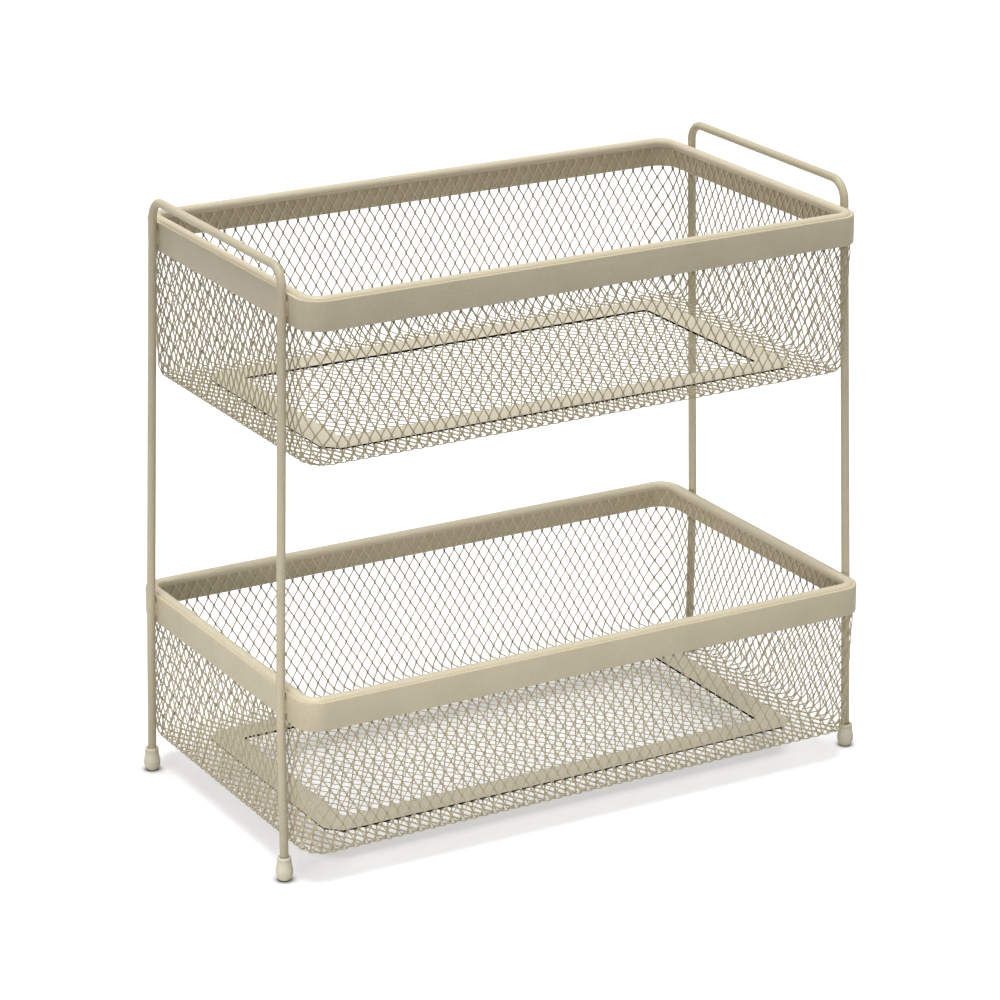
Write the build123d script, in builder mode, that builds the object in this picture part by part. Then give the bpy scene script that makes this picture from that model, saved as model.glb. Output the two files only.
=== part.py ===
from build123d import *
import os

os.makedirs("parts", exist_ok=True)

# A two-tier table basket of powder-coated steel. Two open baskets of expanded
# diamond mesh hang between two bent wire side frames, on four plastic foot caps.
# The origin is on the table under the middle, +Z is up and +X runs along the length.

# Stock, in mm
frame_wire_diameter = 5.0
rim_wire_diameter = 6.0
mesh_thickness = 1.0
band_thickness = 1.2
strip_thickness = 1.2

# Rim bands
band_height = 18.0
band_corner_radius = 15.0
band_edge_radius = 0.4
upper_band_length = 380.0
upper_band_depth = 224.0
upper_band_top = 359.5
lower_band_length = 395.5
lower_band_depth = 233.4
lower_band_top = 118.5

# Rim wires, inside the mesh
rim_wire_rise = 1.9
seat_gap = 0.05

# Mesh baskets
mesh_drop_below_band_top = 0.6
upper_mesh_underside = 258.0
lower_mesh_underside = 17.4
mesh_taper_along_length = 0.5
mesh_taper_along_depth = 2.0
mesh_floor_corner_radius = 10.0
mesh_floor_fillet_radius = 8.0

# Diamond openings of the mesh, few and large in place of the real ones of 7 by 12 mm
diamonds_along_length = 12
diamonds_along_depth = 7
diamonds_up_wall = 2
diamonds_across_floor = 4
diamond_open_share = 0.9
mesh_corner_margin = 6.0
mesh_bend_margin = 5.0

# Floor strips
strip_width = 18.0
strip_corner_cut = 9.0
strip_inner_radius = 4.0
upper_strip_length = 328.0
upper_strip_depth = 166.0
lower_strip_length = 336.0
lower_strip_depth = 174.0

# Side frames
leg_standoff = 0.45
handle_height = 377.0
handle_bend_radius = 12.0
leg_depth_at_upper_band = 173.6
leg_depth_at_lower_band = 180.4
leg_depth_at_foot = 187.0
leg_spread_below_lower_band = 1.5
knee_bend_radius = 300.0
leg_end_height = 4.0

# Foot caps
foot_height = 15.0
foot_diameter = 10.4
foot_widest_height = 4.8
foot_top_diameter = 8.6
foot_underside_diameter = 6.0
foot_collar_height = 2.2
foot_groove_depth = 0.35
foot_groove_width = 0.8

# Weld beads
bead_height = 10.0
bead_width = 4.4
bead_reach = 1.7
bead_rounding = 0.5

# Heights and places that follow from the sizes above
upper_band_middle = upper_band_top - band_height / 2
lower_band_middle = lower_band_top - band_height / 2
handle_line = handle_height - frame_wire_diameter / 2
leg_offset = frame_wire_diameter / 2 + leg_standoff
upper_leg_x = upper_band_length / 2 + leg_offset
lower_leg_x = lower_band_length / 2 + leg_offset
lean_per_height = (lower_leg_x - upper_leg_x) / (upper_band_middle - lower_band_middle)
leg_rise_above_upper_band = handle_line - upper_band_middle
handle_x = upper_leg_x - lean_per_height * leg_rise_above_upper_band
foot_x = lower_leg_x + leg_spread_below_lower_band
narrowing = (leg_depth_at_lower_band - leg_depth_at_upper_band) / (upper_band_middle - lower_band_middle)
handle_depth = leg_depth_at_upper_band - narrowing * leg_rise_above_upper_band


def rim_band(length, depth, top):
    """A flat strip bent into a rounded rectangle, standing on its edge."""
    with BuildPart() as band:
        with BuildSketch(Plane.XY.offset(top - band_height)):
            RectangleRounded(length, depth, band_corner_radius)
            offset(amount=-band_thickness, mode=Mode.SUBTRACT)
        extrude(amount=band_height)
        level_edges = band.edges().group_by(Axis.Z)
        fillet(level_edges[0] + level_edges[-1], radius=band_edge_radius)
    return band


def rim_wire(length, depth, top):
    """A round wire inside the mesh, its top a little above the band."""
    inset = band_thickness + mesh_thickness + 2 * seat_gap + rim_wire_diameter / 2
    wire_line = top + rim_wire_rise - rim_wire_diameter / 2
    x = length / 2 - inset
    y = depth / 2 - inset
    corners = [(x, y), (-x, y), (-x, -y), (x, -y)]
    with BuildPart() as wire:
        with BuildLine(Plane.XY.offset(wire_line)) as path:
            FilletPolyline(*corners, radius=band_corner_radius - inset, close=True)
        with BuildSketch(Plane(origin=path.line @ 0, z_dir=path.line % 0)):
            Circle(rim_wire_diameter / 2)
        sweep(path=path.line)
    return wire


def floor_strip(length, depth, floor_top):
    """A flat strip frame with cut corners, lying on the mesh floor."""
    with BuildPart() as strip:
        with BuildSketch(Plane.XY.offset(floor_top)):
            rectangle = Rectangle(length, depth)
            chamfer(rectangle.vertices(), length=strip_corner_cut)
            RectangleRounded(
                length - 2 * strip_width,
                depth - 2 * strip_width,
                strip_inner_radius,
                mode=Mode.SUBTRACT,
            )
        extrude(amount=strip_thickness)
    return strip


def tub(skin, length, depth, top, underside):
    """The solid that fills a basket, its sides lying skin inside the band's outer face."""
    band_bottom = top - band_height
    across = length - 2 * skin
    deep = depth - 2 * skin
    floor_corner = mesh_floor_corner_radius + band_thickness + seat_gap - skin
    floor_fillet = mesh_floor_fillet_radius + band_thickness + seat_gap - skin
    with BuildPart() as body:
        with BuildSketch(Plane.XY.offset(underside)):
            RectangleRounded(
                across - 2 * mesh_taper_along_length,
                deep - 2 * mesh_taper_along_depth,
                floor_corner,
            )
        with BuildSketch(Plane.XY.offset(band_bottom)):
            RectangleRounded(across, deep, band_corner_radius - skin)
        loft(ruled=True)
        fillet(body.faces().sort_by(Axis.Z)[0].edges(), radius=floor_fillet)
        with BuildSketch(Plane.XY.offset(band_bottom)):
            RectangleRounded(across, deep, band_corner_radius - skin)
        extrude(amount=top - mesh_drop_below_band_top - band_bottom)
    return body


def diamonds(width, height, columns, rows):
    """Open diamonds that fill a rectangle in two staggered sets, the outer ones cut by its edges."""
    pitch_across = width / columns
    pitch_up = height / rows
    half_width = pitch_across * diamond_open_share / 2
    half_height = pitch_up * diamond_open_share / 2
    corners = [(half_width, 0), (0, half_height), (-half_width, 0), (0, -half_height)]
    for column_count, row_count in ((columns, rows), (columns + 1, rows + 1)):
        with GridLocations(pitch_across, pitch_up, column_count, row_count):
            Polygon(*corners)
    Rectangle(width, height, mode=Mode.INTERSECT)


def mesh_basket(length, depth, top, underside):
    """An open tray of diamond mesh, its rim inside the band."""
    outer_skin = band_thickness + seat_gap
    outer = tub(outer_skin, length, depth, top, underside)
    inner = tub(outer_skin + mesh_thickness, length, depth, top, underside + mesh_thickness)
    window_bottom = underside + mesh_bend_margin
    window_top = top - band_height
    window_rise = window_top - window_bottom
    window_middle = (window_bottom + window_top) / 2
    front_window = length - 2 * (outer_skin + mesh_corner_margin)
    side_window = depth - 2 * (outer_skin + mesh_corner_margin)
    floor_length = length - 2 * (outer_skin + mesh_taper_along_length + mesh_bend_margin)
    floor_depth = depth - 2 * (outer_skin + mesh_taper_along_depth + mesh_bend_margin)
    with BuildPart() as basket:
        add(outer.part)
        add(inner.part, mode=Mode.SUBTRACT)
        with BuildSketch(Plane(origin=(0, 0, window_middle), x_dir=(1, 0, 0), z_dir=(0, -1, 0))):
            diamonds(front_window, window_rise, diamonds_along_length, diamonds_up_wall)
        extrude(amount=depth, both=True, mode=Mode.SUBTRACT)
        with BuildSketch(Plane(origin=(0, 0, window_middle), x_dir=(0, 1, 0), z_dir=(1, 0, 0))):
            diamonds(side_window, window_rise, diamonds_along_depth, diamonds_up_wall)
        extrude(amount=length, both=True, mode=Mode.SUBTRACT)
        with BuildSketch(Plane.XY.offset(underside)):
            diamonds(floor_length, floor_depth, diamonds_along_length, diamonds_across_floor)
            RectangleRounded(
                floor_length,
                floor_depth,
                mesh_floor_corner_radius - mesh_bend_margin,
                mode=Mode.INTERSECT,
            )
        extrude(amount=2 * mesh_thickness, both=True, mode=Mode.SUBTRACT)
    return basket


def side_frame(side):
    """One wire on one side: up the front leg, along the handle and down the back leg."""
    foot_turn = (side * foot_x, leg_depth_at_foot / 2, leg_end_height)
    knee = (side * lower_leg_x, leg_depth_at_lower_band / 2, lower_band_middle)
    shoulder = (side * handle_x, handle_depth / 2, handle_line)
    front = [(x, -y, z) for x, y, z in (foot_turn, knee, shoulder)]
    back = [shoulder, knee, foot_turn]
    bends = [knee_bend_radius, handle_bend_radius, handle_bend_radius, knee_bend_radius]
    with BuildPart() as frame:
        with BuildLine() as route:
            FilletPolyline(*front, *back, radius=bends)
        with BuildSketch(Plane(origin=route.line @ 0, z_dir=route.line % 0)):
            Circle(frame_wire_diameter / 2)
        sweep(path=route.line)
    return frame


def foot_cap(x, y, leg):
    """A plastic cap turned about its own upright axis and pushed onto a leg's end."""
    groove_top = foot_height - foot_collar_height
    groove_bottom = groove_top - foot_groove_width
    groove_radius = foot_top_diameter / 2 - foot_groove_depth
    with BuildPart() as cap:
        with BuildSketch(Plane(origin=(x, y, 0), x_dir=(1, 0, 0), z_dir=(0, -1, 0))):
            with BuildLine():
                underside = Line((0, 0), (foot_underside_diameter / 2, 0))
                widest = (foot_diameter / 2, foot_widest_height)
                Spline(underside @ 1, widest, tangents=((1, 0), (0, 1)))
                Polyline(
                    widest,
                    (foot_top_diameter / 2, groove_bottom),
                    (groove_radius, groove_bottom),
                    (groove_radius, groove_top),
                    (foot_top_diameter / 2, groove_top),
                    (foot_top_diameter / 2, foot_height),
                    (0, foot_height),
                    (0, 0),
                )
            make_face()
        revolve(axis=Axis((x, y, 0), (0, 0, 1)))
        add(leg.part, mode=Mode.SUBTRACT)
    return cap


def rim_welds(length, middle, leg_depth, frames):
    """Four upright beads, each filling the valley between a leg and the band's short side."""
    with BuildPart() as beads:
        for side in (-1, 1):
            band_face = Plane(origin=(side * length / 2, 0, middle), x_dir=(0, 1, 0), z_dir=(side, 0, 0))
            with BuildSketch(band_face):
                with GridLocations(leg_depth, bead_height, 2, 1):
                    SlotOverall(bead_height, bead_width, rotation=90)
            extrude(amount=bead_reach)
        outer_faces = beads.faces().filter_by(Axis.X)
        ends = outer_faces.group_by(Axis.X)
        fillet((ends[0] + ends[-1]).edges(), radius=bead_rounding)
        for frame in frames:
            add(frame.part, mode=Mode.SUBTRACT)
    return beads


upper_mesh_basket = mesh_basket(upper_band_length, upper_band_depth, upper_band_top, upper_mesh_underside)
lower_mesh_basket = mesh_basket(lower_band_length, lower_band_depth, lower_band_top, lower_mesh_underside)

upper_rim_band = rim_band(upper_band_length, upper_band_depth, upper_band_top)
lower_rim_band = rim_band(lower_band_length, lower_band_depth, lower_band_top)

upper_rim_wire = rim_wire(upper_band_length, upper_band_depth, upper_band_top)
lower_rim_wire = rim_wire(lower_band_length, lower_band_depth, lower_band_top)

upper_floor_strip = floor_strip(
    upper_strip_length, upper_strip_depth, upper_mesh_underside + mesh_thickness
)
lower_floor_strip = floor_strip(
    lower_strip_length, lower_strip_depth, lower_mesh_underside + mesh_thickness
)

left_side_frame = side_frame(-1)
right_side_frame = side_frame(1)
side_frames = (left_side_frame, right_side_frame)

upper_rim_welds = rim_welds(upper_band_length, upper_band_middle, leg_depth_at_upper_band, side_frames)
lower_rim_welds = rim_welds(lower_band_length, lower_band_middle, leg_depth_at_lower_band, side_frames)

foot_y = leg_depth_at_foot / 2
pieces = {
    "upper_mesh_basket": upper_mesh_basket,
    "upper_rim_band": upper_rim_band,
    "upper_rim_wire": upper_rim_wire,
    "upper_floor_strip": upper_floor_strip,
    "lower_mesh_basket": lower_mesh_basket,
    "lower_rim_band": lower_rim_band,
    "lower_rim_wire": lower_rim_wire,
    "lower_floor_strip": lower_floor_strip,
    "left_side_frame": left_side_frame,
    "right_side_frame": right_side_frame,
    "upper_rim_welds": upper_rim_welds,
    "lower_rim_welds": lower_rim_welds,
    "foot_front_left": foot_cap(-foot_x, -foot_y, left_side_frame),
    "foot_back_left": foot_cap(-foot_x, foot_y, left_side_frame),
    "foot_front_right": foot_cap(foot_x, -foot_y, right_side_frame),
    "foot_back_right": foot_cap(foot_x, foot_y, right_side_frame),
}

for name, piece in pieces.items():
    piece.part.label = name
    export_step(piece.part, f"parts/{name}.step")
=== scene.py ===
import math
import random

import bmesh
import bpy
import numpy as np
from mathutils import Matrix, Vector


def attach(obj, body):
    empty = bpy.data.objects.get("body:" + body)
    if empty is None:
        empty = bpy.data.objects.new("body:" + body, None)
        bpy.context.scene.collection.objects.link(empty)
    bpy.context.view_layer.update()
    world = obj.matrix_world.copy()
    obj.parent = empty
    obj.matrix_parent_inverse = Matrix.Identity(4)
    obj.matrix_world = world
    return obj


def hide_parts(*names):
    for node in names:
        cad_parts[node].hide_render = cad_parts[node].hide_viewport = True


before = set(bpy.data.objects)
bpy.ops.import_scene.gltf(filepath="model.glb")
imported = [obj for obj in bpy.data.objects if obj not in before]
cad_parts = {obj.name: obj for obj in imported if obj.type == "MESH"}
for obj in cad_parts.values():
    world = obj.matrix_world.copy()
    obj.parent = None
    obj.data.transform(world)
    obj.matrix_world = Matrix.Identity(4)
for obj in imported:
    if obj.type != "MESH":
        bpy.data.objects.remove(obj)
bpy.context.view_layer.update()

# Metres. The object stands on z 0, its long side along X and its front towards -Y.
MM = 0.001
QUARTER_TURN = math.pi / 2

BAND_HEIGHT = 18.0 * MM
BAND_THICKNESS = 1.2 * MM
BAND_CORNER = 15.0 * MM
BAND_EDGE = 0.5 * MM
MESH_THICKNESS = 1.0 * MM
RIM_WIRE_RADIUS = 3.0 * MM
RIM_WIRE_RISE = 1.9 * MM
FRAME_WIRE_RADIUS = 2.65 * MM
SEAT_GAP = 0.05 * MM
STRIP_WIDTH = 18.0 * MM
STRIP_THICKNESS = 1.2 * MM
STRIP_CORNER_CUT = 9.0 * MM
STRIP_INNER_CORNER = 4.0 * MM
STRIP_EDGE = 0.1 * MM
STRIP_SLOT = 1.05 * MM
STRIP_SLOT_DEPTH = 0.35 * MM
STRIP_SLOT_ROOF = 0.02 * MM

# Colours of a coat are pairs: a bright one, and a deeper one that mottles it.
BEIGE = ((0.66, 0.589, 0.428), (0.55, 0.486, 0.338))
# the rim wires' beige is a paler copy of the coat, painted light for their brightly lit tops
RIM_WIRE_PAINTED_LIGHT_BEIGE = ((0.73, 0.655, 0.49), (0.65, 0.58, 0.42))
STRIP_BEIGE = ((0.65, 0.596, 0.468), (0.59, 0.538, 0.415))
FOOT_BEIGE = ((0.69, 0.64, 0.505), (0.64, 0.59, 0.455))
# Painted light and painted shade on the mesh: a paler tone above a band's lower edge, a dark one
# just below it
PAINTED_LIGHT_TONE = (0.8, 0.72, 0.53)
PAINTED_SHADE_TONE = (0.09, 0.072, 0.04)
# near black painted into a strip's slot as painted shade
PAINTED_SLOT_SHADE = (0.012, 0.01, 0.006)
WHITE = (1.0, 1.0, 1.0)

# Scales of the noise in a coat, and how much of the mottling is fine
BROAD_SCALE = 38.0
FINE_SCALE = 900.0
FINE_SHARE = 0.6
SPECULAR = 0.4
BUMP_STRENGTH = 0.35
GLOSS_BELOW, GLOSS_ABOVE = 0.05, 0.07
# Where a coat is painted darker as shade below its painted-light part, and how much
PAINTED_SHADE_FROM, PAINTED_SHADE_TO = 2.6 * MM, 0.4 * MM
PAINTED_SHADE_SHARE = 0.9

TIERS = {
    "upper": {
        "length": 380.0 * MM,
        "depth": 224.0 * MM,
        "top": 359.5 * MM,
        "underside": 258.0 * MM,
        "strip_length": 328.0 * MM,
        "strip_depth": 166.0 * MM,
        "leg_depth": 173.6 * MM,
        "pitch": 7.25 * MM,
        "mesh_colours": ((0.5, 0.43, 0.28), (0.42, 0.355, 0.22)),
        "seed": 11,
    },
    "lower": {
        "length": 395.5 * MM,
        "depth": 233.4 * MM,
        "top": 118.5 * MM,
        "underside": 17.4 * MM,
        "strip_length": 336.0 * MM,
        "strip_depth": 174.0 * MM,
        "leg_depth": 180.4 * MM,
        "pitch": 7.5 * MM,
        # The lower mesh is painted paler than the upper one, as painted light for the light the
        # floor throws up on it
        "mesh_colours": ((0.57, 0.495, 0.33), (0.49, 0.42, 0.27)),
        "seed": 12,
    },
}


# Materials


def empty_tree(owner):
    """The node tree of a material or a world, with nothing in it."""
    owner.use_nodes = True
    owner.node_tree.nodes.clear()
    return owner.node_tree


def feed(tree, target, source):
    """Sets an input to another node's output, a colour or a number."""
    if isinstance(source, bpy.types.NodeSocket):
        tree.links.new(source, target)
    elif isinstance(source, tuple):
        target.default_value = (*source, 1.0)
    else:
        target.default_value = source


def shader_node(tree, kind, *operands, **values):
    """Adds a node and returns its outputs. The operands feed its inputs in turn. Each value
    feeds the input of its name, or else is a setting of the node."""
    made = tree.nodes.new("ShaderNode" + kind)
    for target, source in zip(made.inputs, operands):
        feed(tree, target, source)
    for key, value in values.items():
        input_name = key.replace("_", " ")
        if input_name in made.inputs:
            feed(tree, made.inputs[input_name], value)
        else:
            setattr(made, key, value)
    return made.outputs


def colour_ramp(tree, value, *stops):
    """A colour that follows a value through stops of (value, colour), in rising order."""
    ramp = tree.nodes.new("ShaderNodeValToRGB")
    tree.links.new(value, ramp.inputs["Fac"])
    elements = ramp.color_ramp.elements
    for element, (position, colour) in zip(elements, (stops[0], stops[-1])):
        element.position = position
        element.color = (*colour, 1.0)
    for position, colour in stops[1:-1]:
        elements.new(position).color = (*colour, 1.0)
    return ramp.outputs["Color"]


def coat(
    name,
    colours,
    rough,
    grain=1500.0,
    grain_depth=0.05 * MM,
    mottling=0.35,
    painted_shade_below=None,
    painted_light_above=None,
):
    """A powder coat: soft mottling, an orange-peel surface and slightly uneven gloss. Below a
    given height it is painted near black without shine, as painted shade in a recess. Above
    another it is painted paler, as painted light, and just below that height darker, as painted
    shade."""
    material = bpy.data.materials.new(name)
    tree = empty_tree(material)
    place = shader_node(tree, "TexCoord")["Object"]
    height = shader_node(tree, "SeparateXYZ", Vector=place)["Z"]

    def noise(scale, detail, roughness):
        return shader_node(
            tree, "TexNoise", Vector=place, Scale=scale, Detail=detail, Roughness=roughness
        )["Fac"]

    broad = noise(BROAD_SCALE, 3.0, 0.55)
    fine = noise(FINE_SCALE, 2.0, 0.6)
    blend = shader_node(tree, "Mix", Factor=FINE_SHARE, A=broad, B=fine)["Result"]
    bright, deep = colours
    colour = colour_ramp(tree, blend, (0.5 - mottling / 2, deep), (0.5 + mottling / 2, bright))
    shine = SPECULAR
    # paler above the band's lower edge is painted light on the strands; the dark just below it is
    # painted shade under the band
    if painted_light_above is not None:
        under_band_shade_mask = shader_node(
            tree,
            "MapRange",
            Value=height,
            From_Min=painted_light_above - PAINTED_SHADE_FROM,
            From_Max=painted_light_above - PAINTED_SHADE_TO,
            To_Max=PAINTED_SHADE_SHARE,
        )["Result"]
        colour = shader_node(tree, "MixRGB", under_band_shade_mask, colour, PAINTED_SHADE_TONE)["Color"]
        painted_light_mask = shader_node(tree, "Math", height, painted_light_above, operation="GREATER_THAN")["Value"]
        colour = shader_node(tree, "MixRGB", painted_light_mask, colour, PAINTED_LIGHT_TONE)["Color"]
    # below this height near black and no shine are painted shade in the strip's slot
    if painted_shade_below is not None:
        painted_slot_shade_mask = shader_node(tree, "Math", height, painted_shade_below, operation="LESS_THAN")["Value"]
        colour = shader_node(tree, "MixRGB", painted_slot_shade_mask, colour, PAINTED_SLOT_SHADE)["Color"]
        shine = shader_node(tree, "Math", painted_slot_shade_mask, -shine, shine, operation="MULTIPLY_ADD")["Value"]

    gloss = shader_node(
        tree, "MapRange", Value=broad, To_Min=rough - GLOSS_BELOW, To_Max=rough + GLOSS_ABOVE
    )
    peel = noise(grain, 2.0, 0.5)
    bump = shader_node(tree, "Bump", Strength=BUMP_STRENGTH, Distance=grain_depth, Height=peel)
    shader = shader_node(
        tree,
        "BsdfPrincipled",
        Base_Color=colour,
        Specular_IOR_Level=shine,
        Roughness=gloss["Result"],
        Normal=bump["Normal"],
    )
    shader_node(tree, "OutputMaterial", Surface=shader["BSDF"])
    return material


band_coat = coat("band_powder_coat", BEIGE, rough=0.5)
wire_coat = coat("wire_powder_coat", BEIGE, rough=0.46)
# a paler copy of the wire coat, as painted light
rim_painted_light_coat = coat("rim_coat_with_painted_light", RIM_WIRE_PAINTED_LIGHT_BEIGE, rough=0.46)
foot_coat = coat(
    "foot_plastic", FOOT_BEIGE, rough=0.55, grain=2600.0, grain_depth=0.02 * MM, mottling=0.5
)


# Pieces and their faces


def finish_piece(piece, node, material):
    """Puts a finished piece on the object in place of its solid."""
    piece.data.materials.clear()
    piece.data.materials.append(material)
    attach(piece, "root")
    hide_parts(node)
    return piece


def mesh_object(name, points, faces, smooth=True):
    mesh = bpy.data.meshes.new(name)
    mesh.from_pydata([tuple(p) for p in points], [], [tuple(f) for f in faces])
    mesh.update()
    work = bmesh.new()
    work.from_mesh(mesh)
    bmesh.ops.recalc_face_normals(work, faces=work.faces)
    work.to_mesh(mesh)
    work.free()
    for polygon in mesh.polygons:
        polygon.use_smooth = smooth
    thing = bpy.data.objects.new(name, mesh)
    bpy.context.scene.collection.objects.link(thing)
    return thing


def ring_faces(rings, around, first=0, closed=False):
    """Faces between rings that each have as many points around. The first point is number
    first, and a closed row of rings joins its last ring to its first."""
    faces = []
    for i in range(rings if closed else rings - 1):
        here, there = first + i * around, first + (i + 1) % rings * around
        for k in range(around):
            m = (k + 1) % around
            faces.append((here + k, here + m, there + m, there + k))
    return faces


def capped_ring_faces(rings, around, first=0):
    """Faces between rings in an open row, with a flat face over either end."""
    last = first + (rings - 1) * around
    caps = [tuple(range(start, start + around)) for start in (first, last)]
    return ring_faces(rings, around, first) + caps


def rounded_loop(half_x, half_y, radius, steps=14):
    """Points and outward directions round a rounded rectangle, corners in equal steps."""
    points = []
    for turn, (sx, sy) in enumerate(((1, -1), (1, 1), (-1, 1), (-1, -1))):
        centre = Vector((sx * (half_x - radius), sy * (half_y - radius)))
        for i in range(steps + 1):
            angle = (turn - 1 + i / steps) * QUARTER_TURN
            out = Vector((math.cos(angle), math.sin(angle)))
            points.append((centre + out * radius, out))
    return points


def along_loop(loop, profile):
    """Points and faces of a profile, a ring of (outwards, up) offsets, carried round a loop."""
    points = []
    for place, out in loop:
        for u, z in profile:
            spot = place + out * u
            points.append((spot.x, spot.y, z))
    return points, ring_faces(len(loop), len(profile), closed=True)


# Rims and floor strips


def rounded_strip_profile(inner, outer, low, high, edge, steps=4):
    """The section of a flat strip with softly rounded edges."""
    ring = []
    corners = (
        (outer - edge, low + edge, -QUARTER_TURN),
        (outer - edge, high - edge, 0.0),
        (inner + edge, high - edge, QUARTER_TURN),
        (inner + edge, low + edge, math.pi),
    )
    for u, z, start in corners:
        for i in range(steps + 1):
            angle = start + QUARTER_TURN * i / steps
            ring.append((u + edge * math.cos(angle), z + edge * math.sin(angle)))
    return ring


def make_band(tier, name):
    loop = rounded_loop(tier["length"] / 2, tier["depth"] / 2, BAND_CORNER)
    low = tier["top"] - BAND_HEIGHT
    profile = rounded_strip_profile(-BAND_THICKNESS, 0.0, low, tier["top"], BAND_EDGE)
    piece = mesh_object(name, *along_loop(loop, profile))
    return finish_piece(piece, name, band_coat)


def make_rim_wire(tier, name, sides=28):
    inset = BAND_THICKNESS + MESH_THICKNESS + 2 * SEAT_GAP + RIM_WIRE_RADIUS
    loop = rounded_loop(tier["length"] / 2 - inset, tier["depth"] / 2 - inset, BAND_CORNER - inset)
    level = tier["top"] + RIM_WIRE_RISE - RIM_WIRE_RADIUS
    profile = []
    for i in range(sides):
        angle = 2 * math.pi * i / sides
        offset = RIM_WIRE_RADIUS * math.cos(angle)
        profile.append((offset, level + RIM_WIRE_RADIUS * math.sin(angle)))
    piece = mesh_object(name, *along_loop(loop, profile))
    return finish_piece(piece, name, rim_painted_light_coat)


def make_floor_strip(tier, name, corner_points=6):
    """The flat frame on the mesh floor, its outer corners cut off and its edges softened. The
    lower part of its edges is set back and dark, for the shadow line under the real frame."""
    half_x, half_y = tier["strip_length"] / 2, tier["strip_depth"] / 2
    outer = []
    for sx, sy in ((1, -1), (1, 1), (-1, 1), (-1, -1)):
        first = Vector((sx * half_x, sy * (half_y - STRIP_CORNER_CUT)))
        second = Vector((sx * (half_x - STRIP_CORNER_CUT), sy * half_y))
        start, end = (second, first) if sx * sy < 0 else (first, second)
        for share in np.linspace(0.0, 1.0, corner_points):
            outer.append(start.lerp(end, share))
    hole = rounded_loop(
        half_x - STRIP_WIDTH, half_y - STRIP_WIDTH, STRIP_INNER_CORNER, corner_points - 1
    )
    inner = [place for place, _ in hole]

    low = tier["underside"] + MESH_THICKNESS
    slot_top, high = low + STRIP_SLOT, low + STRIP_THICKNESS
    # outline, how far it draws in towards the middle, and height
    rings = (
        (outer, STRIP_SLOT_DEPTH, low),
        (outer, STRIP_SLOT_DEPTH, slot_top),
        (outer, 0.0, slot_top),
        (outer, 0.0, high - STRIP_EDGE),
        (outer, STRIP_EDGE, high),
        (inner, -STRIP_EDGE, high),
        (inner, 0.0, high - STRIP_EDGE),
        (inner, 0.0, slot_top),
        (inner, -STRIP_SLOT_DEPTH, slot_top),
        (inner, -STRIP_SLOT_DEPTH, low),
    )
    points = [
        (p.x - math.copysign(shrink, p.x), p.y - math.copysign(shrink, p.y), z)
        for outline, shrink, z in rings
        for p in outline
    ]
    faces = ring_faces(len(rings), len(outer), closed=True)
    piece = mesh_object(name, points, faces, smooth=False)
    # the slot's roof is painted dark as well, as painted shade
    painted_shade_below = slot_top + STRIP_SLOT_ROOF
    strip_coat = coat(f"{name}_coat", STRIP_BEIGE, rough=0.5, painted_shade_below=painted_shade_below)
    return finish_piece(piece, name, strip_coat)


# Side frames

LEG_STANDOFF = 0.45 * MM
LEG_SPREAD = 1.35 * MM
LEG_END = 4.0 * MM
KNEE_BEND = 300.0 * MM
HANDLE_TOP = 377.0 * MM
HANDLE_BEND = 12.0 * MM
HANDLE_LINE = HANDLE_TOP - FRAME_WIRE_RADIUS
LEG_OFFSET = FRAME_WIRE_RADIUS + LEG_STANDOFF
UPPER_MIDDLE = TIERS["upper"]["top"] - BAND_HEIGHT / 2
LOWER_MIDDLE = TIERS["lower"]["top"] - BAND_HEIGHT / 2
UPPER_LEG_X = TIERS["upper"]["length"] / 2 + LEG_OFFSET
LOWER_LEG_X = TIERS["lower"]["length"] / 2 + LEG_OFFSET
UPPER_LEG_Y = TIERS["upper"]["leg_depth"] / 2
LOWER_LEG_Y = TIERS["lower"]["leg_depth"] / 2
LEAN_X = (LOWER_LEG_X - UPPER_LEG_X) / (UPPER_MIDDLE - LOWER_MIDDLE)
LEAN_Y = (LOWER_LEG_Y - UPPER_LEG_Y) / (UPPER_MIDDLE - LOWER_MIDDLE)
FOOT_X = LOWER_LEG_X + LEG_SPREAD
FOOT_Y = 93.5 * MM


def bent_path(corners, radii, step_angle=math.radians(5.0)):
    """Points along straight runs joined by arcs, one radius for each inner corner."""
    path = [corners[0]]
    for before, corner, after, radius in zip(corners, corners[1:], corners[2:], radii):
        incoming = (corner - before).normalized()
        outgoing = (after - corner).normalized()
        turn = incoming.angle(outgoing)
        start = corner - incoming * radius * math.tan(turn / 2)
        axis = incoming.cross(outgoing).normalized()
        centre = start + axis.cross(incoming) * radius
        steps = max(3, math.ceil(turn / step_angle))
        for i in range(steps + 1):
            spin = Matrix.Rotation(turn * i / steps, 3, axis)
            path.append(centre + spin @ (start - centre))
    path.append(corners[-1])
    return path


def tube(name, path, radius, sides=28):
    """A closed round wire along a path, its section carried without twist."""
    directions = []
    for i in range(len(path)):
        a = path[max(i - 1, 0)]
        b = path[min(i + 1, len(path) - 1)]
        directions.append((b - a).normalized())
    across = directions[0].orthogonal().normalized()
    points = []
    for place, direction in zip(path, directions):
        across = (across - direction * across.dot(direction)).normalized()
        other = direction.cross(across)
        for k in range(sides):
            angle = 2 * math.pi * k / sides
            points.append(place + (across * math.cos(angle) + other * math.sin(angle)) * radius)
    return mesh_object(name, points, capped_ring_faces(len(path), sides))


def leg_place(side, end, height):
    """The middle of a leg's wire at a height between the lower band and the handle."""
    down = UPPER_MIDDLE - height
    return Vector(
        (side * (UPPER_LEG_X + LEAN_X * down), end * (UPPER_LEG_Y + LEAN_Y * down), height)
    )


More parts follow.
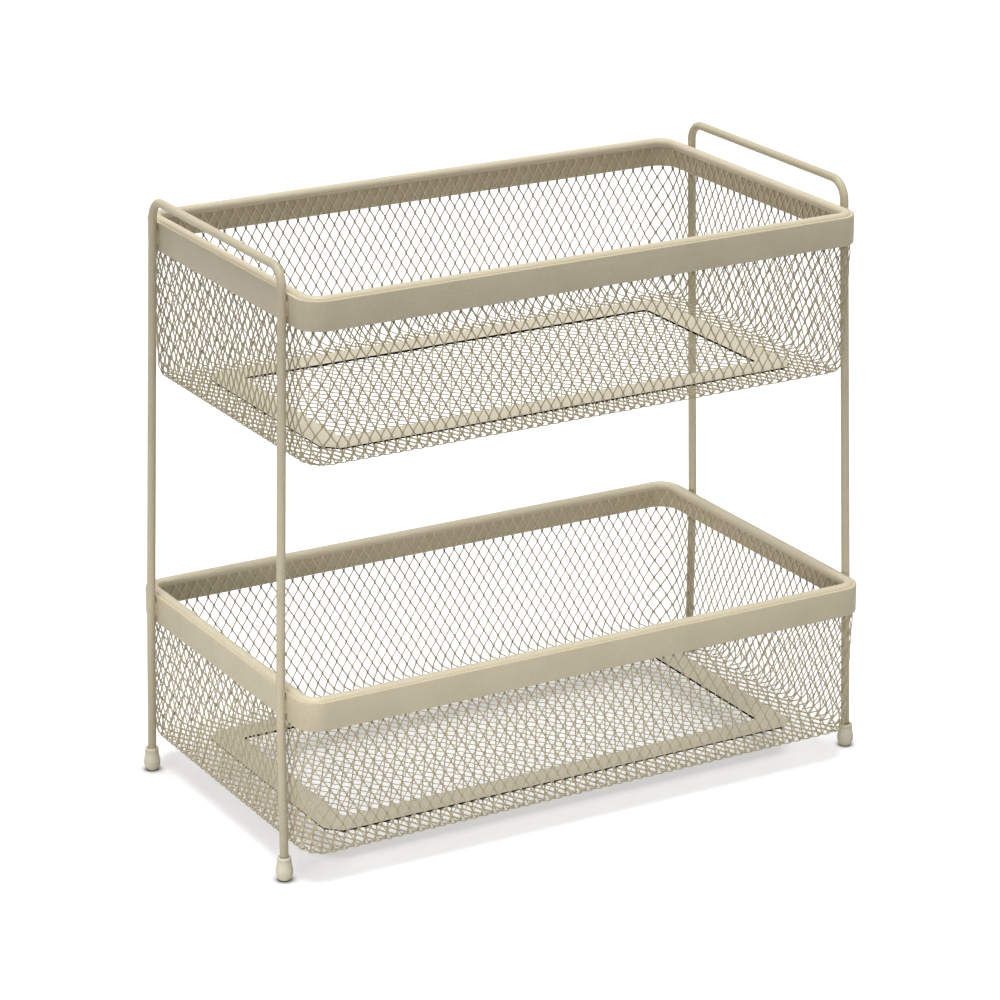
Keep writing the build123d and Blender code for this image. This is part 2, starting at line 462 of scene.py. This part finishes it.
def make_side_frame(side, name):
    half = [
        Vector((side * FOOT_X, FOOT_Y, LEG_END)),
        leg_place(side, 1, LOWER_MIDDLE),
        leg_place(side, 1, HANDLE_LINE),
    ]
    front = [Vector((p.x, -p.y, p.z)) for p in half]
    corners = front + list(reversed(half))
    path = bent_path(corners, (KNEE_BEND, HANDLE_BEND, HANDLE_BEND, KNEE_BEND))
    return finish_piece(tube(name, path, FRAME_WIRE_RADIUS), name, wire_coat)


# Foot caps. Their sizes are in millimetres.

CAP_UNDERSIDE_RADIUS = 2.2
CAP_WIDEST_RADIUS = 5.2
CAP_WIDEST_HEIGHT = 5.6
CAP_NECK_RADIUS = 4.3
CAP_NECK_HEIGHT = 11.9
# (radius, height) up through the groove, over the collar and down the bore to its end
CAP_COLLAR = (
    (4.28, 12.05),
    (4.0, 12.2),
    (3.93, 12.4),
    (3.95, 12.6),
    (4.1, 12.75),
    (4.25, 12.9),
    (4.28, 13.4),
    (4.24, 14.3),
    (4.1, 14.7),
    (3.85, 14.93),
    (3.5, 15.0),
    (2.95, 14.92),
    (2.7, 14.7),
    (2.62, 14.2),
    (2.55, 10.0),
    (0.0, 10.0),
)


def lathe(name, outline, place, sides=48):
    """A closed turned piece about an upright axis. The outline runs from axis to axis."""
    points = [(place.x, place.y, outline[0][1]), (place.x, place.y, outline[-1][1])]
    rings = outline[1:-1]
    for radius, z in rings:
        for k in range(sides):
            angle = 2 * math.pi * k / sides
            x, y = radius * math.cos(angle), radius * math.sin(angle)
            points.append((place.x + x, place.y + y, z))
    first = 2
    last = first + (len(rings) - 1) * sides
    faces = ring_faces(len(rings), sides, first)
    for k in range(sides):
        m = (k + 1) % sides
        faces += [(0, first + m, first + k), (1, last + k, last + m)]
    return mesh_object(name, points, faces)


def make_foot(name, sx, sy, round_steps=12, neck_steps=8):
    """A push-on cap: rounded below, widest low down, with a groove under its collar."""
    outline = [(0.0, 0.0), (CAP_UNDERSIDE_RADIUS, 0.0)]
    for i in range(1, round_steps + 1):
        angle = QUARTER_TURN * i / round_steps
        swell = (CAP_WIDEST_RADIUS - CAP_UNDERSIDE_RADIUS) * math.sin(angle)
        rise = CAP_WIDEST_HEIGHT * (1 - math.cos(angle))
        outline.append((CAP_UNDERSIDE_RADIUS + swell, rise))
    for i in range(1, neck_steps + 1):
        share = i / neck_steps
        ease = share * share * (3 - 2 * share)
        radius = CAP_WIDEST_RADIUS + (CAP_NECK_RADIUS - CAP_WIDEST_RADIUS) * ease
        outline.append((radius, CAP_WIDEST_HEIGHT + (CAP_NECK_HEIGHT - CAP_WIDEST_HEIGHT) * share))
    outline += CAP_COLLAR
    place = Vector((sx * FOOT_X, sy * FOOT_Y, 0.0))
    cap = lathe(name, [(r * MM, z * MM) for r, z in outline], place)
    return finish_piece(cap, name, foot_coat)


# Weld beads

BEAD_HALF_HEIGHT = 5.0 * MM
BEAD_END_HALF_WIDTH = 0.5 * MM
BEAD_SWELL = 1.75 * MM
BEAD_ROOT = 0.1 * MM
BEAD_SHORT_OF_LEG = 0.9 * MM
BEAD_END_REACH = 0.35
BEAD_WAIST = 0.28
BEAD_SLICES = 15
BEAD_SIDE_POINTS = 7


def bead_slice(share, waves, leg, side, band_x):
    """A level ring of a bead, share running from -1 at its lower end to 1 at its upper one. The
    ring goes from the band's face out to the leg's wire along one flank and back along the
    other."""
    full = math.sqrt(max(0.0, 1 - share**4))
    lump = 1 + 0.08 * math.sin(3.1 * share + waves[0]) + 0.05 * math.sin(9 * share + waves[1])
    half_width = BEAD_END_HALF_WIDTH + BEAD_SWELL * full * lump
    gap = abs(leg.x) - band_x - BEAD_SHORT_OF_LEG
    reach = gap * (BEAD_END_REACH + (1 - BEAD_END_REACH) * full)
    ring = []
    for flank, wave in ((1, math.sin), (-1, math.cos)):
        for k in range(BEAD_SIDE_POINTS):
            out = wave(QUARTER_TURN * k / (BEAD_SIDE_POINTS - 1))
            waist = 1 - BEAD_WAIST * math.sin(math.pi * out)
            x = side * (band_x - BEAD_ROOT + out * reach)
            ring.append((x, leg.y + flank * half_width * waist, leg.z))
    return ring


def make_welds(tier, name, seed):
    """Four upright beads between a band's short sides and the legs."""
    draw = random.Random(seed)
    points, faces = [], []
    middle = tier["top"] - BAND_HEIGHT / 2
    for side in (-1, 1):
        for end in (-1, 1):
            faces += capped_ring_faces(BEAD_SLICES, 2 * BEAD_SIDE_POINTS, len(points))
            half_height = BEAD_HALF_HEIGHT + draw.uniform(-0.4, 0.5) * MM
            shift = draw.uniform(-0.5, 0.5) * MM
            waves = [draw.uniform(0, 2 * math.pi) for _ in range(3)]
            for i in range(BEAD_SLICES):
                share = -1 + 2 * i / (BEAD_SLICES - 1)
                leg = leg_place(side, end, middle + shift + half_height * share)
                points += bead_slice(share, waves, leg, side, tier["length"] / 2)
    return finish_piece(mesh_object(name, points, faces), name, wire_coat)


# Expanded mesh. Every bond is a short upright slat turned out of the sheet. At each end its
# two halves part and run on as strands to the next row's bonds, as in slit and drawn sheet.

STRAND_WIDTH = 0.8 * MM
STRAND_THICKNESS = 0.5 * MM
BOND_LENGTH = 1.4 * MM
ROW_RISE = 6.15 * MM
SLAT_TURN = math.radians(30.0)
# Shares of that turn wall by wall, and down a wall, where 1 is the full turn
FRONT_TURN, RIGHT_TURN, BACK_TURN, LEFT_TURN = -0.8, 0.3, -1.0, -0.3
RIM_TURN, BAND_TURN, BEND_TURN = 0.4, 0.8, 0.3

# The shape of the sheet: its walls, the bend and the floor
MESH_TOP_DROP = 0.6 * MM
MESH_BEND = 7.0 * MM
MESH_LOW_CORNER = 17.0 * MM
MESH_TIGHTEST_CORNER = 0.4 * MM
TAPER_X, TAPER_Y = 0.5 * MM, 2.0 * MM
BEND_OVERLAP = 1.2 * MM
FLOOR_CORNER = 11.0 * MM
FLOOR_DROP = 0.15 * MM
OUTER_FLOOR_WIDENING = 1.2
FILLED_EDGE_DROP = 0.3 * MM
FILLED_EDGE_HEIGHT = 1.3 * MM

# How far bonds stray from an even grid: each by itself, and together in slow waves
SCATTER = 0.09 * MM
SIDEWAYS_WAVE, UPRIGHT_WAVE = 0.12 * MM, 0.1 * MM

# The parts of a wall, straight runs and corners in turn from the middle of the front. Each
# row gives the corner centre that it starts at, the one that it ends at, and the outward
# direction at either end in quarter turns.
WALL_PARTS = np.array(
    (
        (0, -1, 1, -1, -1, -1),
        (1, -1, 1, -1, -1, 0),
        (1, -1, 1, 1, 0, 0),
        (1, 1, 1, 1, 0, 1),
        (1, 1, -1, 1, 1, 1),
        (-1, 1, -1, 1, 1, 2),
        (-1, 1, -1, -1, 2, 2),
        (-1, -1, -1, -1, 2, 3),
        (-1, -1, 0, -1, 3, 3),
    )
)

# A bond has two rings of six points. These are the points of its left and right half.
RING_POINTS = 6
LEFT_HALF, RIGHT_HALF = (0, 1, 4, 5), (1, 2, 3, 4)


class Sheet:
    """The middle surface of a basket's mesh. Below the band its walls taper and their corners
    grow rounder, and a bend turns them into the floor."""

    def __init__(self, tier):
        inset = BAND_THICKNESS + SEAT_GAP + MESH_THICKNESS / 2
        self.half_x = tier["length"] / 2 - inset
        self.half_y = tier["depth"] / 2 - inset
        self.top = tier["top"] - MESH_TOP_DROP
        self.floor = tier["underside"] + MESH_THICKNESS / 2
        self.top_corner = BAND_CORNER - inset
        self.low_corner = MESH_LOW_CORNER - MESH_THICKNESS / 2
        self.bend = MESH_BEND - MESH_THICKNESS / 2
        # distances down the wall
        self.taper_start = self.top - (tier["top"] - BAND_HEIGHT)
        self.bend_start = self.top - self.floor - self.bend
        self.bend_end = self.bend_start + self.bend * QUARTER_TURN
        # distances round the wall
        run_x = 2 * (self.half_x - self.top_corner)
        run_y = 2 * (self.half_y - self.top_corner)
        corner = self.top_corner * QUARTER_TURN
        self.lengths = np.array(
            (run_x / 2, corner, run_y, corner, run_x, corner, run_y, corner, run_x / 2)
        )
        self.starts = np.cumsum((0, *self.lengths[:-1]))
        self.around = float(self.lengths.sum())

    def wall(self, s, h, n):
        """Places s round the wall from the middle of the front, h down it and n outwards."""
        tapering = self.bend_start - self.taper_start
        taper = np.clip(h - self.taper_start, 0, tapering) / (tapering + self.bend)
        angle = np.clip((h - self.bend_start) / self.bend, 0, QUARTER_TURN)
        flat, down = np.cos(angle), np.sin(angle)
        draw_in = self.bend * (1 - flat) + np.maximum(h - self.bend_end, 0)
        x = self.half_x - TAPER_X * taper - draw_in
        y = self.half_y - TAPER_Y * taper - draw_in
        corner = self.top_corner + (self.low_corner - self.top_corner) * taper - draw_in
        corner = np.maximum(corner, MESH_TIGHTEST_CORNER)
        z = np.where(h < self.bend_start, self.top - h, self.floor + self.bend * (1 - down))

        s = np.mod(s, self.around)
        part = np.clip(np.searchsorted(self.starts, s, side="right") - 1, 0, len(WALL_PARTS) - 1)
        share = (s - self.starts[part]) / self.lengths[part]
        start_x, start_y, end_x, end_y, first_turn, last_turn = WALL_PARTS[part].T
        centre_x = (x - corner) * (start_x + (end_x - start_x) * share)
        centre_y = (y - corner) * (start_y + (end_y - start_y) * share)
        turn = (first_turn + (last_turn - first_turn) * share) * QUARTER_TURN
        reach = corner + n * flat
        return np.stack(
            (centre_x + reach * np.cos(turn), centre_y + reach * np.sin(turn), z - n * down),
            axis=-1,
        )

    def wall_turns(self, s, h):
        """How far the slats turn: each wall its own way, less at the rim and in the bend."""
        share_of_height = (
            (0.0, RIM_TURN),
            (6.0 * MM, RIM_TURN),
            (9.0 * MM, BAND_TURN),
            (self.taper_start, BAND_TURN),
            (self.taper_start + 4.0 * MM, 1.0),
            (self.bend_start - 4.0 * MM, 1.0),
            (self.bend_start + 2.0 * MM, BEND_TURN),
        )
        # each wall's share holds from the start to the end of its straight run
        share_of_wall = np.repeat((FRONT_TURN, RIGHT_TURN, BACK_TURN, LEFT_TURN, FRONT_TURN), 2)
        turn = SLAT_TURN * np.interp(h, *np.transpose(share_of_height))
        return turn * np.interp(np.mod(s, self.around), self.starts[1:], share_of_wall[1:-1])


def slat_section(turn, width):
    """The corners of a bond's section in turn, as (along the sheet, out of it)."""
    section = []
    for side, halves in ((1, (-1, 0, 1)), (-1, (1, 0, -1))):
        for half in halves:
            along = half * width * np.cos(turn) - side * STRAND_THICKNESS / 2 * np.sin(turn)
            out = half * width * np.sin(turn) + side * STRAND_THICKNESS / 2 * np.cos(turn)
            section.append((along, out))
    return section


def lattice_faces(index, columns, rows):
    """Faces of the bonds and strands. index(i, j) gives a bond's first point, or None."""
    faces = []
    for j in range(rows):
        odd = j % 2
        for i in range(columns):
            here = index(i, j)
            if here is None:
                continue
            faces += ring_faces(2, RING_POINTS, here)
            halves = ((RIGHT_HALF, LEFT_HALF, i + odd), (LEFT_HALF, RIGHT_HALF, i + odd - 1))
            for own, other, neighbour in halves:
                end = [here + RING_POINTS + k for k in own]
                below = index(neighbour, j + 1)
                if below is None:
                    faces.append(tuple(end))
                else:
                    start = [below + k for k in other]
                    for c in range(4):
                        d = (c + 1) % 4
                        faces.append((end[c], end[d], start[d], start[c]))
                if index(neighbour, j - 1) is None:
                    faces.append(tuple(here + k for k in own))
    return faces


def waviness(a, b, scale, seed):
    """A slow wandering of the mesh, as drawn sheet has."""
    first = np.sin(a * 61 + 1.3 * np.sin(b * 47) + seed)
    second = np.sin(b * 83 + 1.1 * np.sin(a * 39) + 2.0)
    return scale * (first + second)


def wall_lattice(sheet, tier, columns, draw):
    """Points and faces of the walls, one band of mesh that runs round into the bend."""
    pitch = sheet.around / columns
    height = sheet.bend_end + BEND_OVERLAP
    rows = round(height / ROW_RISE) + 1
    rise = height / (rows - 1)
    points = np.zeros((rows, columns, 2, RING_POINTS, 3))
    for j in range(rows):
        h = j * rise
        s = (np.arange(columns) + (j % 2) / 2) * pitch
        s = s + draw.normal(0, SCATTER, columns) + waviness(s, h, SIDEWAYS_WAVE, tier["seed"])
        h = h + draw.normal(0, SCATTER, columns) + waviness(h, s, UPRIGHT_WAVE, tier["seed"])
        section = slat_section(sheet.wall_turns(s, h), STRAND_WIDTH)
        for ring, side in ((0, -1), (1, 1)):
            end = np.clip(h + side * BOND_LENGTH / 2, 0, None)
            for c, (along, out) in enumerate(section):
                points[j, :, ring, c] = sheet.wall(s + along, end, out)

    def index(i, j):
        if j < 0 or j >= rows:
            return None
        return (j * columns + i % columns) * 2 * RING_POINTS

    return points.reshape(-1, 3), lattice_faces(index, columns, rows)


def floor_lattice(sheet, tier, wall_pitch, draw):
    """Points and faces of the floor, a flat sheet that runs under the walls' turned-in edge."""
    edge_x = sheet.half_x - TAPER_X - sheet.bend + BEND_OVERLAP
    edge_y = sheet.half_y - TAPER_Y - sheet.bend + BEND_OVERLAP
    low_run = sheet.half_x - TAPER_X - sheet.low_corner
    pitch = wall_pitch * low_run / (sheet.half_x - sheet.top_corner)
    columns = int(2 * edge_x / pitch) + 3
    rows = int(2 * edge_y / ROW_RISE) + 3
    # the slats turn the other way outside the middle line of the strip
    seam_x = (tier["strip_length"] - STRIP_WIDTH) / 2
    seam_y = (tier["strip_depth"] - STRIP_WIDTH) / 2
    inner_section = slat_section(SLAT_TURN, STRAND_WIDTH)
    outer_section = slat_section(-SLAT_TURN, OUTER_FLOOR_WIDENING * STRAND_WIDTH)
    kept = {}
    points = []
    for j in range(rows):
        y0 = (j - rows / 2) * ROW_RISE
        for i in range(columns):
            x0 = (i - columns // 2 + (j % 2) / 2) * pitch
            x = x0 + draw.normal(0, SCATTER) + waviness(x0, y0, SIDEWAYS_WAVE, tier["seed"])
            y = y0 + draw.normal(0, SCATTER) + waviness(y0, x0, UPRIGHT_WAVE, tier["seed"])
            over_x = abs(x0) - (edge_x - FLOOR_CORNER)
            over_y = abs(y0) - (edge_y - FLOOR_CORNER)
            if math.hypot(max(over_x, 0.0), max(over_y, 0.0)) > FLOOR_CORNER:
                continue
            kept[(i, j)] = len(points)
            inside = abs(x0) < seam_x and abs(y0) < seam_y
            for side in (-1, 1):
                for along, out in inner_section if inside else outer_section:
                    height = sheet.floor - FLOOR_DROP - out
                    points.append((x + along, y + side * BOND_LENGTH / 2, height))
    return points, lattice_faces(lambda i, j: kept.get((i, j)), columns, rows)


def filled_edge(sheet, tier):
    """Points and faces of the sheet's top edge, where the coat fills the seam between band and
    rim wire."""
    loop = rounded_loop(sheet.half_x, sheet.half_y, sheet.top_corner)
    half = MESH_THICKNESS / 2
    high = tier["top"] - FILLED_EDGE_DROP
    low = high - FILLED_EDGE_HEIGHT
    return along_loop(loop, ((-half, low), (half, low), (half, high), (-half, high)))


def make_mesh_basket(tier, name):
    draw = np.random.default_rng(tier["seed"])
    sheet = Sheet(tier)
    columns = round(sheet.around / tier["pitch"])
    points, faces = [], []
    for more_points, more_faces in (
        wall_lattice(sheet, tier, columns, draw),
        floor_lattice(sheet, tier, sheet.around / columns, draw),
        filled_edge(sheet, tier),
    ):
        first = len(points)
        points.extend(more_points)
        faces.extend(tuple(first + k for k in face) for face in more_faces)
    piece = mesh_object(name, points, faces, smooth=False)
    # The mesh coat is painted paler above the band's lower edge and darker just below it: painted
    # light and painted shade
    mesh_coat = coat(
        f"{name}_coat",
        tier["mesh_colours"],
        rough=0.5,
        grain=2200.0,
        grain_depth=0.03 * MM,
        painted_light_above=tier["top"] - BAND_HEIGHT,
    )
    return finish_piece(piece, name, mesh_coat)


for tier_name, tier in TIERS.items():
    make_band(tier, f"{tier_name}_rim_band")
    make_rim_wire(tier, f"{tier_name}_rim_wire")
    make_floor_strip(tier, f"{tier_name}_floor_strip")
    make_mesh_basket(tier, f"{tier_name}_mesh_basket")
    make_welds(tier, f"{tier_name}_rim_welds", tier["seed"])
make_side_frame(-1, "left_side_frame")
make_side_frame(1, "right_side_frame")
for word_y, sy in (("front", -1), ("back", 1)):
    for word_x, sx in (("left", -1), ("right", 1)):
        make_foot(f"foot_{word_y}_{word_x}", sx, sy)


# Floor, light and camera

FLOOR_HALF_SIZE = 6.0
FLOOR_UNSEEN = (0.5, 0.5, 0.5)
FLOOR_SEEN = (0.68, 0.68, 0.68)
FLOOR_GLOW = 0.56
AMBIENT = 0.22
SPOT_RADIUS = 0.25

# Painted shadow on the floor, by how open the floor is within reach: stops of (openness, colour)
CONTACT_REACH = 11.0 * MM
CONTACT_SHADES = ((0.25, (0.06, 0.06, 0.06)), (0.85, (1.0, 1.0, 1.01)))
POOL_REACH = 60.0 * MM
POOL_SHADES = ((0.3, (0.5, 0.46, 0.38)), (0.6, (0.69, 0.69, 0.685)), (0.95, WHITE))
DEEP_POOL_X, FAINT_POOL_X = -0.21, -0.15
FAINT_POOL = 0.25


def seen_directly(tree):
    """1 where the camera sees, also in a reflection or through glass, and 0 for other rays."""
    rays = shader_node(tree, "LightPath")
    seen = rays["Is Camera Ray"]
    for kind in ("Is Glossy Ray", "Is Transmission Ray"):
        seen = shader_node(tree, "Math", seen, rays[kind], operation="MAXIMUM")["Value"]
    return seen


def stage_plane():
    """A floor that looks white and keeps the object's shadow. Painted shadow darkens it close to
    the feet and in a wider pool round the basket, which is deepest on the left as in the
    photograph."""
    material = bpy.data.materials.new("studio_floor")
    tree = empty_tree(material)
    contact = shader_node(tree, "AmbientOcclusion", Distance=CONTACT_REACH, samples=16)["AO"]
    around = shader_node(tree, "AmbientOcclusion", Distance=POOL_REACH, samples=16)["AO"]
    contact_shade = colour_ramp(tree, contact, *CONTACT_SHADES)
    pool_shade = colour_ramp(tree, around, *POOL_SHADES)
    place = shader_node(tree, "TexCoord")["Object"]
    across = shader_node(tree, "SeparateXYZ", Vector=place)["X"]
    pool_depth = shader_node(
        tree,
        "MapRange",
        Value=across,
        From_Min=DEEP_POOL_X,
        From_Max=FAINT_POOL_X,
        To_Min=1.0,
        To_Max=FAINT_POOL,
    )["Result"]

    def multiplied(factor, first, second):
        return shader_node(tree, "MixRGB", factor, first, second, blend_type="MULTIPLY")["Color"]

    # painted shadow: the contact shade times the pool, deepest on the left side
    tone = multiplied(pool_depth, contact_shade, pool_shade)
    shaded = shader_node(tree, "BsdfDiffuse", multiplied(1.0, tone, FLOOR_SEEN))["BSDF"]
    plain = shader_node(tree, "Emission", Color=tone, Strength=FLOOR_GLOW)["Emission"]
    seen = shader_node(tree, "AddShader", shaded, plain)["Shader"]
    unseen = shader_node(tree, "BsdfDiffuse", FLOOR_UNSEEN)["BSDF"]
    surface = shader_node(tree, "MixShader", seen_directly(tree), unseen, seen)["Shader"]
    shader_node(tree, "OutputMaterial", Surface=surface)

    size = FLOOR_HALF_SIZE
    corners = [(-size, -size, 0), (size, -size, 0), (size, size, 0), (-size, size, 0)]
    plane = mesh_object("studio_floor", corners, [(0, 1, 2, 3)], smooth=False)
    plane.data.materials.append(material)


def studio_world():
    """White to the eye, and a dim even light on everything."""
    world = bpy.data.worlds.new("studio_world")
    bpy.context.scene.world = world
    tree = empty_tree(world)
    ambient = shader_node(tree, "Background", Color=WHITE, Strength=AMBIENT)["Background"]
    white = shader_node(tree, "Background", Color=WHITE, Strength=1.0)["Background"]
    surface = shader_node(tree, "MixShader", seen_directly(tree), ambient, white)["Shader"]
    shader_node(tree, "OutputWorld", Surface=surface)


def aimed(name, lamp, place, target):
    thing = bpy.data.objects.new(name, lamp)
    thing.location = place
    thing.rotation_mode = "QUATERNION"
    thing.rotation_quaternion = (Vector(target) - Vector(place)).to_track_quat("-Z", "Y")
    bpy.context.scene.collection.objects.link(thing)


def soft_sun(name, place, strength, softness):
    """Light from a wide patch of sky in the direction of place, the same all over the floor."""
    lamp = bpy.data.lights.new(name, "SUN")
    lamp.energy = strength
    lamp.angle = math.radians(softness)
    aimed(name, lamp, place, (0.0, 0.0, 0.0))


def soft_spot(name, place, target, power, width):
    """A soft pool of light on the lower tier, which the photograph shows paler."""
    lamp = bpy.data.lights.new(name, "SPOT")
    lamp.energy = power
    lamp.spot_size = math.radians(width)
    lamp.spot_blend = 1.0
    lamp.shadow_soft_size = SPOT_RADIUS
    aimed(name, lamp, place, target)


stage_plane()
studio_world()
soft_sun("overhead", (-0.06, -0.06, 1.0), strength=2.55, softness=32.0)
soft_sun("front", (-0.1, -1.0, 0.3), strength=0.27, softness=60.0)
soft_sun("left", (-1.0, -0.2, 0.3), strength=0.5, softness=60.0)
soft_spot("low_left", (-1.9, -1.1, 0.3), (-0.03, 0.0, -0.03), power=100.0, width=14.0)
soft_spot("low_front", (-0.3, -2.2, 0.12), (0.02, -0.1, -0.02), power=36.0, width=14.0)

# The photograph's own view, fitted to the corners of the tiers, the handles and the feet
CAMERA_AZIMUTH = math.radians(-29.830)
CAMERA_ELEVATION = math.radians(19.732)
CAMERA_PLACE = Vector((-1084.05, -1888.86, 955.79)) * MM
FOCAL_PIXELS = 3700.9
FRAME_PIXELS = 1000.0
SENSOR = 36.0

camera_data = bpy.data.cameras.new("camera")
camera_data.sensor_width = SENSOR
camera_data.lens = FOCAL_PIXELS * SENSOR / FRAME_PIXELS
camera_data.clip_end = 50.0
camera = bpy.data.objects.new("camera", camera_data)
camera.location = CAMERA_PLACE
camera_back = Vector(
    (
        math.sin(CAMERA_AZIMUTH) * math.cos(CAMERA_ELEVATION),
        -math.cos(CAMERA_AZIMUTH) * math.cos(CAMERA_ELEVATION),
        math.sin(CAMERA_ELEVATION),
    )
)
camera.rotation_mode = "QUATERNION"
camera.rotation_quaternion = (-camera_back).to_track_quat("-Z", "Y")
bpy.context.scene.collection.objects.link(camera)
bpy.context.scene.camera = camera
bpy.context.scene.view_settings.view_transform = "Standard"
